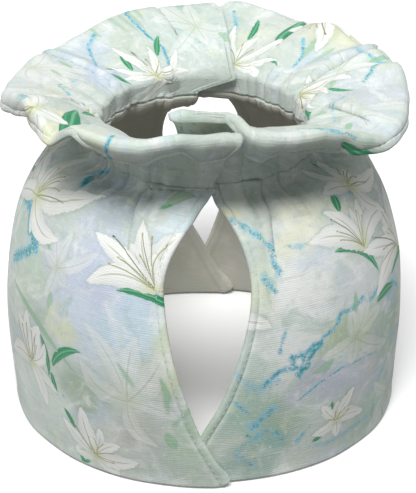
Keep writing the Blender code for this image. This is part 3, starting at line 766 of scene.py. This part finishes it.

# soft washes under the motifs, and painted shade under the frill and on its front rim: x, y, reach in x, reach
# in y, colour, strength
washesWithShade = (
    (-48, 84, 34, 34, "#c9d2e4", 0.95), (-52, 66, 22, 18, "#d2e0ea", 0.7), (-96, 112, 30, 20, "#d3d8d8", 0.8),
    (-30, 72, 18, 22, "#cbdfea", 0.85), (-8, 112, 16, 20, "#d5e4ea", 0.9), (-6, 128, 14, 10, "#e2ecf0", 0.7),
    (-6, 96, 12, 14, "#cfe0d4", 0.8), (-92, 74, 20, 18, "#bfd2bf", 0.9), (-64, 62, 12, 10, "#dfe3bd", 0.8),
    (-12, 62, 10, 22, "#d6dfc0", 0.8), (-86, 20, 44, 26, "#d9e5da", 0.95), (-50, 38, 16, 14, "#a3b8a0", 0.85),
    (-34, 14, 22, 18, "#cfd4ca", 0.85), (-24, 26, 14, 12, "#bdbfb9", 0.7), (-12, 8, 18, 12, "#bfcdc1", 0.9),
    (-3, 28, 12, 22, "#b5ccb4", 0.85), (-108, 48, 20, 22, "#d2dfd6", 0.9), (-120, 90, 18, 14, "#bcd3c4", 0.8),
    (20, 126, 16, 12, "#e3e8dc", 0.9), (14, 121, 7, 4, "#e6e6b8", 0.8), (40, 122, 14, 14, "#d9ddd8", 0.8),
    (55, 112, 20, 14, "#f4f4e0", 0.95), (38, 104, 14, 10, "#e0e2c8", 0.8), (28, 88, 14, 14, "#d9e2cc", 0.85),
    (48, 82, 22, 22, "#edf0ee", 0.95), (34, 62, 20, 18, "#e8ece9", 0.8), (74, 78, 16, 14, "#d3d8da", 0.8),
    (18, 58, 14, 16, "#c6d8ce", 0.8), (20, 36, 18, 18, "#adc8ba", 0.95), (34, 30, 14, 12, "#a7c0a6", 0.7),
    (52, 40, 22, 14, "#c3c9d6", 0.95), (78, 34, 18, 14, "#c6cdd8", 0.8), (66, 58, 20, 12, "#b3c6a8", 0.9),
    (98, 50, 18, 18, "#a9c6b4", 0.85), (100, 64, 12, 8, "#a5cbdc", 0.7), (24, 10, 24, 12, "#a9c2b6", 0.9),
    (48, 8, 22, 10, "#d4dcd2", 0.8), (84, 10, 28, 16, "#b6d0c4", 0.9), (112, 24, 16, 20, "#b4cdc4", 0.8),
    (108, 100, 18, 20, "#c6d0ce", 0.8), (70, 104, 10, 12, "#cfdcd6", 0.8), (30, 20, 10, 8, "#8fb8ae", 0.7),
    # painted shade: the grey washes at y 120 to 132, along the top of the panel, stand for the shade under the
    # frill
    (-66, 128, 26, 12, "#a3b1b4", 0.8), (-46, 120, 18, 15, "#b3bec8", 0.8), (60, 132, 30, 9, "#b9c0bb", 0.8),
    (92, 130, 26, 10, "#bcc5c1", 0.8), (-92, 132, 26, 9, "#b4bfbe", 0.8), (-150, 96, 30, 26, "#cbd5e2", 0.9),
    (-170, 60, 30, 30, "#b7cbb9", 0.9), (-150, 20, 30, 22, "#c6ccc9", 0.9),
    (-205, 84, 30, 30, "#dfe4d2", 0.9), (-210, 30, 34, 26, "#b3c9c0", 0.9),
    (-245, 60, 26, 30, "#ccd6e4", 0.9), (-255, 110, 26, 20, "#d6dfd6", 0.9),
    (-260, 16, 30, 20, "#b4c7b4", 0.9), (140, 78, 28, 28, "#ccd5e3", 0.9), (150, 24, 30, 22, "#b2c8bc", 0.9),
    (178, 70, 26, 26, "#e2e4cf", 0.9), (200, 28, 28, 24, "#b9cab6", 0.9), (215, 104, 30, 20, "#d5dedb", 0.9),
    (240, 56, 26, 28, "#cad5e3", 0.9), (262, 20, 24, 20, "#b6cabf", 0.9),
    # the frill
    # painted shade: the first three washes here are grey on the front rim, where it turns under
    (-30, 210, 70, 12, "#a0aea4", 0.9), (54, 212, 44, 10, "#a9b4ab", 0.85), (96, 214, 26, 7, "#b3beb6", 0.7),
    (-150, 190, 30, 24, "#d9dfda", 0.95), (-172, 176, 22, 16, "#c3cfdc", 0.95),
    (-186, 192, 20, 14, "#c1cfda", 0.8), (-214, 186, 20, 22, "#c8d2c6", 0.9),
    (-246, 186, 26, 24, "#c4d4ce", 0.9), (-110, 196, 24, 18, "#e3e9e3", 0.95),
    (-74, 198, 14, 14, "#e8e9c9", 0.9), (-40, 200, 22, 16, "#dbe3d4", 0.8),
    (-10, 204, 26, 14, "#cddbd2", 0.9), (214, 190, 22, 20, "#d0d7d0", 0.9),
    (250, 190, 20, 24, "#c3d2c8", 0.9), (190, 198, 16, 12, "#dcdfc0", 0.9),
    (176, 190, 16, 18, "#c2d0d8", 0.95), (150, 192, 18, 16, "#d2dad5", 0.9),
    (124, 190, 22, 20, "#c9d1d4", 0.95), (96, 196, 20, 14, "#cfdbdc", 0.9), (60, 200, 24, 12, "#d2dccf", 0.8),
    # painted shade: the grey wash at x 0, y 202 darkens the front rim where it turns under
    (20, 196, 26, 16, "#c9d2c8", 0.9), (0, 202, 16, 12, "#b4c0b6", 0.8),
)

# veins of blue and teal ink: reach, strength, share of teal, points
veins = (
    (4.2, 1.0, 0.35, ((-124, 97), (-112, 99), (-102, 97), (-94, 93), (-89, 88))),
    (3.6, 1.0, 0.75, ((-103, 96), (-98, 91), (-93, 92), (-91, 86), (-96, 82), (-102, 78), (-108, 74))),
    (3.2, 0.95, 0.2, ((-97, 98), (-90, 94), (-88, 87))),
    (2.6, 0.95, 0.15, ((-80, 120), (-84, 124), (-88, 130), (-80, 134))),
    (2.2, 0.5, 0.3, ((-44, 130), (-40, 122))),
    (1.7, 0.9, 0.2, ((112, 58), (100, 67), (93, 65), (87, 71), (80, 68), (74, 71), (67, 69), (61, 70),
                     (57, 64), (52, 63), (48, 59))),
    (1.9, 1.0, 0.7, ((50, 60), (45, 56), (43, 51), (39, 49))),
    (2.0, 0.9, 0.1, ((47, 60), (42, 57), (36, 57), (38, 52), (31, 52), (25, 47))),
    (2.0, 0.8, 0.8, ((42, 56), (40, 47))), (3.6, 0.6, 0.3, ((30, 47), (22, 44), (14, 52))),
    (3.4, 0.75, 0.15, ((28, 34), (24, 30), (20, 27))), (2.6, 0.7, 0.7, ((26, 24), (20, 21), (17, 24))),
    (2.4, 0.7, 0.2, ((17, 19), (13, 15), (20, 8))),
    (2.6, 0.75, 0.6, ((15, 118), (19, 116), (26, 110), (32, 104))),
    (3.2, 0.8, 0.25, ((32, 106), (32, 99), (34, 94))), (3.0, 0.7, 0.5, ((26, 94), (28, 90), (31, 86))),
    (2.0, 0.6, 0.7, ((38, 104), (46, 102), (60, 104))), (2.6, 0.8, 0.9, ((30, 22), (33, 19))),
    (3.0, 0.6, 0.4, ((104, 40), (98, 34), (92, 28), (84, 22))),
    (2.4, 0.55, 0.2, ((40, 12), (56, 10), (96, 14))), (3.0, 0.7, 0.6, ((76, 112), (84, 116), (92, 112))),
    (2.2, 0.6, 0.9, ((80, 104), (84, 108))), (2.2, 0.6, 0.2, ((-46, 50), (-42, 46))),
    (2.0, 0.6, 0.2, ((-68, 31), (-62, 30))), (2.6, 0.6, 0.2, ((70, 48), (60, 50), (52, 50))),
    (2.0, 0.5, 0.6, ((12, 66), (12, 60))),
    (0.8, 0.9, 0.3, ((38, 35), (50, 42), (60, 45), (74, 44), (97, 40))),
    (2.0, 0.8, 0.5, ((12, 40), (18, 34))), (2.0, 0.7, 0.9, ((46, 22), (40, 16))),
    (1.6, 0.7, 0.8, ((34, 70), (31, 60))), (3.4, 0.9, 0.2, ((-190, 52), (-176, 66), (-160, 72), (-148, 86))),
    (3.2, 0.8, 0.6, ((-224, 108), (-210, 116), (-196, 112))),
    (3.4, 0.8, 0.4, ((-268, 44), (-252, 52), (-240, 70), (-226, 76))),
    (3.0, 0.7, 0.3, ((-184, 14), (-170, 22), (-160, 14))),
    (3.6, 0.9, 0.2, ((140, 60), (154, 68), (166, 80), (182, 84))),
    (3.2, 0.8, 0.6, ((196, 112), (208, 104), (224, 110))),
    (3.4, 0.85, 0.3, ((214, 30), (228, 42), (238, 46), (254, 40))),
    (3.0, 0.7, 0.4, ((136, 12), (150, 6), (166, 14))),
    # the frill
    (1.4, 1.0, 0.15, ((-226, 205), (-224, 203), (-223, 197), (-222, 188), (-224, 181), (-220, 172),
                      (-214, 160))), (1.5, 0.8, 0.1, ((-206, 200), (-196, 196), (-188, 188), (-178, 182))),
    (1.4, 0.7, 0.1, ((-176, 184), (-168, 176))), (1.7, 0.7, 0.1, ((-190, 206), (-182, 202), (-170, 206))),
    (1.3, 0.7, 0.3, ((-240, 190), (-248, 180))),
    (1.3, 1.0, 0.2, ((-39, 198), (-38, 203), (-40, 208), (-39, 214))),
    (1.4, 0.8, 0.5, ((-104, 200), (-88, 204))),
    (1.4, 0.9, 0.2, ((178, 192), (170, 198), (160, 200), (152, 206))),
    (1.4, 0.85, 0.8, ((156, 204), (146, 196), (136, 190))),
    (1.3, 0.9, 0.1, ((118, 154), (110, 162), (102, 160))),
    (1.6, 0.7, 0.2, ((124, 180), (108, 176), (92, 178))), (1.3, 0.8, 0.5, ((40, 200), (66, 204))),
    (1.2, 0.8, 0.5, ((2, 196), (-10, 198))), (1.4, 0.8, 0.2, ((198, 190), (190, 184), (186, 176))),
    (1.3, 0.8, 0.3, ((242, 196), (236, 188), (240, 178))),
    (1.4, 0.8, 0.4, ((-152, 182), (-142, 186), (-130, 180))),
)


fullInk = 0.62    # a vein's strength at its middle
halo = -1.9       # mm outside an outline that still carry its soft shade
blank = (0.0, 9.0, -9.0, 0.0)    # along, across, inside and tone where nothing is drawn
# name on the mesh, part of the sprays, kind of shape
layersOfPrint = (
    ("ghost", "ghost", "petal"), ("leaf", "leaves", "leaf"), ("petalUnder", "under", "petal"),
    ("petalOver", "over", "petal"), ("stamen", "stamens", "stamen"),
)


def segmentDistance(points, start, end):
    line = np.subtract(end, start)
    t = np.clip(((points - start) @ line) / (line @ line), 0, 1)
    return np.hypot(*(points - start - t[..., None] * line).T).T


def softSpot(x, y, seed=0.0):    # edges of the washes wander, as wet colour does
    return (np.sin(x * 0.13 + seed) * np.cos(y * 0.11 - seed * 1.7)
            + 0.6 * np.sin(x * 0.31 - y * 0.24 + seed * 2.3) + 0.35 * np.cos(x * 0.57 + y * 0.49 + seed))


def tintsWithShade(flat):
    x, y = flat[:, 0], flat[:, 1]
    tint = np.tile(colour("#c9d4cc")[:3], (len(flat), 1))    # pale mint
    for i, (cx, cy, rx, ry, code, strength) in enumerate(washesWithShade):
        away = np.hypot((x - cx) / rx, (y - cy) / ry) + 0.16 * softSpot(x, y, i * 1.3)
        share = strength * (1 - ease((away - 0.35) / 0.75))
        tint = mixed(tint, np.array(colour(code)[:3]), share[:, None])
    return tint


def veinFields(flat):    # how much ink, and how much of it is teal
    amount, teal = np.zeros(len(flat)), np.zeros(len(flat))
    for reach, strength, tone, points in veins:
        for start, end in zip(points, points[1:]):
            away = segmentDistance(flat, np.array(start, float), np.array(end, float))
            near = strength * np.exp(-(away / reach) ** 2)
            teal = np.where(near > amount, tone, teal)
            amount = np.maximum(amount, near)
    return amount * fullInk, teal


# how a leaf and a petal swell along their length: how much, and how fast from the foot and to the tip
leafShape = (3.0, 0.7, 0.95)
petalShape = {"swell": (3.0, 0.85, 0.92), "foot": 0.34, "ripple": 0.10, "ripples": 19}
antherShape = {"half": 0.52, "longer": 1.9}


def bladeAt(points, blade, kind):
    x, y, angle, length, half, bend, _ = blade
    dx, dy = points[..., 0] - x, points[..., 1] - y
    c, s = cos(radians(angle)), sin(radians(angle))
    t = (dx * c + dy * s) / length
    inRange = np.clip(t, 0, 1)
    off = -dx * s + dy * c - bend * length * 4 * inRange * (1 - inRange)
    beyond = length * (np.maximum(-t, 0) + np.maximum(t - 1, 0))
    if kind == "stamen":
        anther = antherShape["half"] - np.hypot((t - 1) * length / antherShape["longer"], off)
        return t, off, anther, -np.abs(off) - beyond
    if kind == "leaf":
        much, rise, fall = leafShape
        profile = much * inRange ** rise * (1 - inRange) ** fall
    else:
        much, rise, fall = petalShape["swell"]
        wave = 1 + petalShape["ripple"] * np.sin(inRange * petalShape["ripples"] + x) * inRange
        foot = petalShape["foot"] * (1 - inRange)
        profile = (foot + much * inRange ** rise * (1 - inRange) ** fall) * wave
    inside = half * profile - np.abs(off) - beyond
    return t, off / half, inside, inside


def bladesOf(part):    # every placed petal, leaf or stamen of one layer, in flat millimetres
    found = []
    for spray, x, y, turn, size, side in placements:
        for row in sprays[spray].get(part, ()):
            if part == "leaves":
                lx, ly, angle, length, half, bend, tone = row
            elif part == "stamens":
                (angle, length, bend, tone), lx, ly, half = row, 0.0, 0.0, 1.0
            else:
                (angle, length, half, bend, tone), lx, ly = row, 0.0, 0.0
            if side < 0:
                lx, angle, bend = -lx, 180 - angle, -bend
            c, s = cos(radians(turn)), sin(radians(turn))
            half = half if part == "stamens" else half * size
            at = (x + size * (lx * c - ly * s), y + size * (lx * s + ly * c))
            found.append((*at, angle + turn, length * size, half, bend, tone))
    return found + list(looseLeaves if part == "leaves" else ())


def paintLayer(mesh, name, kind, blades, corners):    # each cell takes the shape that it lies deepest in
    field = np.tile(blank, (len(corners), 4, 1))
    best = np.full(len(corners), halo)
    centres = corners.mean(axis=1)
    for blade in blades:
        x, y, _, length = blade[:4]
        around = length * 1.2 + 8
        near = np.nonzero((np.abs(centres[:, 0] - x) < around) & (np.abs(centres[:, 1] - y) < around))[0]
        if len(near) == 0:
            continue
        rank = bladeAt(centres[near], blade, kind)[3]
        won = rank > best[near]
        chosen = near[won]
        best[chosen] = rank[won]
        t, off, inside, _ = bladeAt(corners[chosen], blade, kind)
        field[chosen] = np.stack([t, off, inside, np.full_like(t, blade[6])], axis=-1)
    layer = mesh.attributes.new(name, "FLOAT_COLOR", "CORNER")
    layer.data.foreach_set("color", field.ravel())


def printOn(cloth, flat):
    mesh = cloth.data
    tint = np.concatenate([tintsWithShade(flat), np.ones((len(flat), 1))], axis=1)
    mesh.attributes.new("washAndShade", "FLOAT_COLOR", "POINT").data.foreach_set("color", tint.ravel())
    amount, teal = veinFields(flat)
    ink = np.stack([amount, teal, np.zeros_like(amount), np.ones_like(amount)], axis=-1)
    mesh.attributes.new("vein", "FLOAT_COLOR", "POINT").data.foreach_set("color", ink.ravel())
    corner = np.empty(len(mesh.loops), int)
    mesh.loops.foreach_get("vertex_index", corner)
    corners = flat[corner].reshape(-1, 4, 2)
    for name, part, kind in layersOfPrint:
        paintLayer(mesh, name, kind, bladesOf(part), corners)


def slants(rise, isLeft):    # how far each upright hem leans, and the cloth's length for each degree
    above, below = panelEnds(rise + 0.5, isLeft), panelEnds(rise - 0.5, isLeft)
    perDegree = wallAt(rise)[1] * radians(1)
    return [np.hypot(1, (above[i] - below[i]) * perDegree) for i in (0, 1)], perDegree


def cornerCut(distance, corner):    # how far a rounded corner has moved the hem at a distance from the side
    return corner - np.sqrt(corner ** 2 - (corner - np.minimum(distance, corner)) ** 2)


def sewnDown(distance, sizes):    # the groove where a hem is sewn down, and the roll of cloth beside it
    depth, width = sizes["groove"]
    height, away, breadth = sizes["roll"]
    inward = distance - panel["hem"]
    return height * bump(inward - away, breadth) - depth * bump(inward, width)


def buildPanel(name, isLeft):
    cloth, column, row = gridOf(name, panel["columns"], panel["rows"])
    rise = denseEnds(panel["rows"], wallRise[-1], atEnd=False)[row]
    width = panel["degrees"] * cover["flatPerDegree"]
    share = (denseEnds(panel["columns"], width) / width)[column]
    front, back = panelEnds(rise, isLeft)
    bearing = mixed(front, back, share)
    # distance to the nearer upright hem, square to it
    slant, perDegree = slants(rise, isLeft)
    toHem = np.minimum(*(np.abs(bearing - end) * perDegree / lean for end, lean in zip((front, back), slant)))
    step, over = panel["hemStep"]
    lift = step * (1 - ease((toHem - panel["hem"] + over) / over)) + sewnDown(toHem, panel)
    cut = cornerCut(toHem, panel["corner"])
    rise = rise + cut * (1 - ease(rise / panel["cornerFade"]))
    flat = np.stack([bearing * cover["flatPerDegree"], rise], axis=-1)
    setFlat(cloth, flat)
    printOn(cloth, flat)
    setPlaces(cloth, panelPoint(bearing, rise, isLeft, lift))
    thickened(cloth, roundness(np.minimum(toHem, rise - cut)), isLeft, insideMaterial)
    return cloth


def frillLift(flat, toEdge, away):    # the rim's hem and its stitched groove, the creases, soft unevenness
    full, breadth = frill["band"]
    lift = sewnDown(toEdge, frill) + full * bump(toEdge - panel["hem"] / 2, breadth)
    lift = lift + creased(flat[:, 0], flat[:, 1], frill["creases"])
    near, fade = frill["unevenFrom"]
    wave = softWave(*(flat * frill["waveScale"]).T)
    return lift + frill["unevenness"] * wave * ease((away - near) / fade)


def crestLine(across, isLeft):    # bearing of the crest, and how far the cloth droops beyond it
    ends = endsOf(isLeft)
    bearing = mixed(ends[2], ends[5], across)
    return bearing, crestOf(isLeft, bearing)[2]


def buildFrill(name, isLeft):    # folded double, so printed on both sides
    rows = frill["casingRows"] + frill["flareRows"] + frill["rimRows"]
    cloth, column, row = gridOf(name, frill["columns"], rows)
    width = frill["width"]
    across = (denseEnds(frill["columns"], width) / width)[column]
    casingShares = np.linspace(0, 1, frill["casingRows"] + 1)[:-1]
    flareShares = np.linspace(0, 1, frill["flareRows"] + 1)[:-1]
    rimShares = 1 - (1 - np.linspace(0, 1, frill["rimRows"] + 1)) ** frill["rimSpacing"]
    part = np.repeat([0, 1, 2], [len(casingShares), len(flareShares), len(rimShares)])[row]
    share = np.concatenate([casingShares, flareShares, rimShares])[row]
    crestBearing, droop = crestLine(across, isLeft)
    casing, length = frill["casing"], frill["length"]
    # how far up the strip each row lies, and again as a share of its part once the corners are cut round
    strips = [share * casing, casing + share * (length - casing)]
    away = np.select([part == 0, part == 1], strips, length + droop * share)
    toEnd = np.minimum(across, 1 - across) * width
    toRim = length + droop - away
    fade = ease((away - frill["cornerFrom"]) / (length + droop - frill["cornerFrom"]))
    away = away - cornerCut(toEnd, frill["corner"]) * fade
    part = np.where(away < casing, 0, np.where(away < length, 1, 2))
    strips = [away / casing, (away - casing) / (length - casing)]
    share = np.select([part == 0, part == 1], strips, (away - length) / droop)
    flat = np.stack([crestBearing * cover["flatPerDegree"], frill["patternStart"] + away], axis=-1)
    lift = frillLift(flat, np.minimum(toRim, toEnd), away)
    setFlat(cloth, flat)
    printOn(cloth, flat)
    setPlaces(cloth, frillPoint(across, part, share, isLeft, lift))
    thickened(cloth, roundness(np.minimum(toRim, toEnd)), not isLeft, outsideMaterial)
    return cloth


# Sewing thread, in mm: a stitch's length and thickness, from one stitch to the next, how proud of the cloth's
# middle it lies and how far inside the hem's band. Real thread is 0.3 mm thick and is drawn thicker to show
thread = {"length": 2.3, "thick": 0.38, "pitch": 3.3, "proud": 1.36, "sink": 0.5, "samples": 900}


def cottonThread():
    # Spun cotton thread: pale, matt, with its twist just showing
    material, tree, shader = newMaterial("cottonThread")
    place = add(tree, "TexCoord", {})
    twist = add(tree, "TexNoise", {0: place.outputs["Object"], "Scale": 2600.0, "Detail": 2.0})
    dyed = layered(tree, colour("#d3dcd5"), ((twist, 0.35, 0.65, 0.0, 0.6, "#aab7b0"),))
    tree.links.new(dyed.outputs[2], shader.inputs["Base Color"])
    relief = add(tree, "Bump", {"Height": twist, "Strength": 0.3, "Distance": 0.0002})
    tree.links.new(relief.outputs[0], shader.inputs["Normal"])
    shader.inputs["Roughness"].default_value = 0.75
    shader.inputs["Sheen Weight"].default_value = 0.2
    return material


def evenly(places):    # where the stitches fall along a row of points, and which way each lies
    gaps = np.linalg.norm(np.diff(places, axis=0), axis=1)
    along = np.concatenate([[0], np.cumsum(gaps)])
    at = np.arange(thread["pitch"] / 2, along[-1] / mm, thread["pitch"]) * mm
    half = thread["length"] / 2 * mm
    start, middle, end = (
        np.stack([np.interp(at + step, along, places[:, i]) for i in range(3)], axis=-1)
        for step in (-half, 0, half)
    )
    return middle, end - start


def sewn(name, seams, material):    # small capsules in rows, made in edit mode as one piece
    bpy.ops.object.select_all(action="DESELECT")
    bpy.ops.mesh.primitive_cube_add(size=0.01, location=(0, 0, 0))
    piece = bpy.context.object
    piece.name = piece.data.name = name
    bpy.ops.object.mode_set(mode="EDIT")
    bpy.ops.mesh.select_all(action="SELECT")
    bpy.ops.mesh.delete(type="VERT")
    for places in seams:
        for middle, heading in zip(*evenly(places)):
            turned = Vector(heading).to_track_quat("X", "Z").to_euler()
            bpy.ops.mesh.primitive_uv_sphere_add(
                segments=6, ring_count=4, radius=thread["thick"] / 2 * mm, location=middle, rotation=turned,
                scale=(thread["length"] / thread["thick"], 1, 1),
            )
    bpy.ops.object.mode_set(mode="OBJECT")
    bpy.ops.object.shade_smooth()
    piece.data.materials.append(material)
    print(name, len(piece.data.polygons), "faces")
    return piece


def panelSeams(isLeft):    # beside both upright hems, on the printed side
    rise = np.linspace(1.5, wallRise[-1] - 1, 400)
    front, back = panelEnds(rise, isLeft)
    slant, perDegree = slants(rise, isLeft)
    rows = []
    for end, lean, side in ((front, slant[0], -1 if isLeft else 1), (back, slant[1], 1 if isLeft else -1)):
        inward = (panel["hem"] - thread["sink"]) * lean / perDegree
        rows.append(panelPoint(end + side * inward, rise, isLeft, thread["proud"] + 0.1))
    return rows


def frillSeams(isLeft):    # along the rim's hem, and where the casing's top is sewn through
    count = thread["samples"]
    across = np.linspace(0.02, 0.98, count)
    crestBearing, droop = crestLine(across, isLeft)
    back = 1 - (panel["hem"] - thread["sink"]) / droop
    part = np.where(back > 0, 2, 1)
    share = np.where(back > 0, back, 1 + back * droop / (frill["length"] - frill["casing"]))
    away = frill["length"] + droop * back
    flat = np.stack([crestBearing * cover["flatPerDegree"], frill["patternStart"] + away], axis=-1)
    lift = frillLift(flat, panel["hem"] - thread["sink"], away)
    rows = [frillPoint(across, part, share, isLeft, lift + thread["proud"])]
    for where in frill["casingSeams"]:
        for side in (-1, 1):
            place = np.full(count, where)
            rows.append(frillPoint(across, np.zeros(count), place, isLeft, side * thread["proud"]))
    return rows


print("cosy: frame loaded")
outsideMaterial = printedCotton()
insideMaterial = cottonReverse()

leftPanel = buildPanel("leftPanel", True)
rightPanel = buildPanel("rightPanel", False)
leftFrill = buildFrill("leftFrill", True)
rightFrill = buildFrill("rightFrill", False)

threadMaterial = cottonThread()
leftPanelStitches = sewn("leftPanelStitches", panelSeams(True), threadMaterial)
rightPanelStitches = sewn("rightPanelStitches", panelSeams(False), threadMaterial)
leftFrillStitches = sewn("leftFrillStitches", frillSeams(True), threadMaterial)
rightFrillStitches = sewn("rightFrillStitches", frillSeams(False), threadMaterial)
for piece in (leftPanelStitches, rightPanelStitches, leftFrillStitches, rightFrillStitches):
    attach(piece, "root")

for piece, node in ((leftPanel, "side_panel_left"), (rightPanel, "side_panel_right"),
                    (leftFrill, "frill_left"), (rightFrill, "frill_right")):
    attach(piece, "root")
    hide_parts(node)
    print(piece.name, len(piece.data.polygons), "faces")


# Camera at the photograph's own angle
camera = {"distance": 1.0, "elevation": 28.3, "aim": 0.0676, "lens": 170.2, "shiftX": 0.0081}
tilt = radians(camera["elevation"])
bpy.ops.object.select_all(action="DESELECT")
bpy.ops.object.camera_add(
    location=(0, -camera["distance"] * cos(tilt), camera["aim"] + camera["distance"] * sin(tilt)),
    rotation=(radians(90) - tilt, 0, 0),
)
view = bpy.context.object
view.data.sensor_fit = "VERTICAL"
view.data.sensor_height = 36
view.data.lens = camera["lens"]
view.data.shift_x = camera["shiftX"]
bpy.context.scene.camera = view
bpy.context.scene.view_settings.view_transform = "Standard"    # so that white paper stays white

# Each softbox: strength, height, side (0 is in front, 90 to the right) and how broad it is, in degrees
studio = {
    "sky": 0.20,
    "key": (3.0, 62, -10, 28),
    "frontFill": (0.16, 10, -12, 40),
    "leftFill": (0.62, 24, -104, 50),
    "rightFill": (0.5, 30, 112, 50),
}

bpy.ops.mesh.primitive_plane_add(size=6, location=(0, 0, 0))
floor = bpy.context.object
floor.name = "floor"
floorMaterial, floorTree, floorShader = newMaterial("whitePaper")
floorShader.inputs["Base Color"].default_value = colour("#f7f7f7")
floorShader.inputs["Roughness"].default_value = 0.95
floorShader.inputs["Specular IOR Level"].default_value = 0.1
floorShader.inputs["Emission Color"].default_value = (1, 1, 1, 1)
floorShader.inputs["Emission Strength"].default_value = 0.1
floor.visible_diffuse = False    # the white sweep doesn't light the cosy from below
floor.data.materials.append(floorMaterial)

world = bpy.data.worlds.new("studio")
bpy.context.scene.world = world
world.use_nodes = True
world.node_tree.nodes["Background"].inputs["Color"].default_value = (1, 1, 1, 1)
world.node_tree.nodes["Background"].inputs["Strength"].default_value = studio["sky"]
for name in ("key", "frontFill", "leftFill", "rightFill"):
    strength, height, side, breadth = studio[name]
    bpy.ops.object.light_add(type="SUN", rotation=(radians(90 - height), 0, radians(side)))
    bpy.context.object.name = name
    bpy.context.object.data.energy = strength
    bpy.context.object.data.angle = radians(breadth)
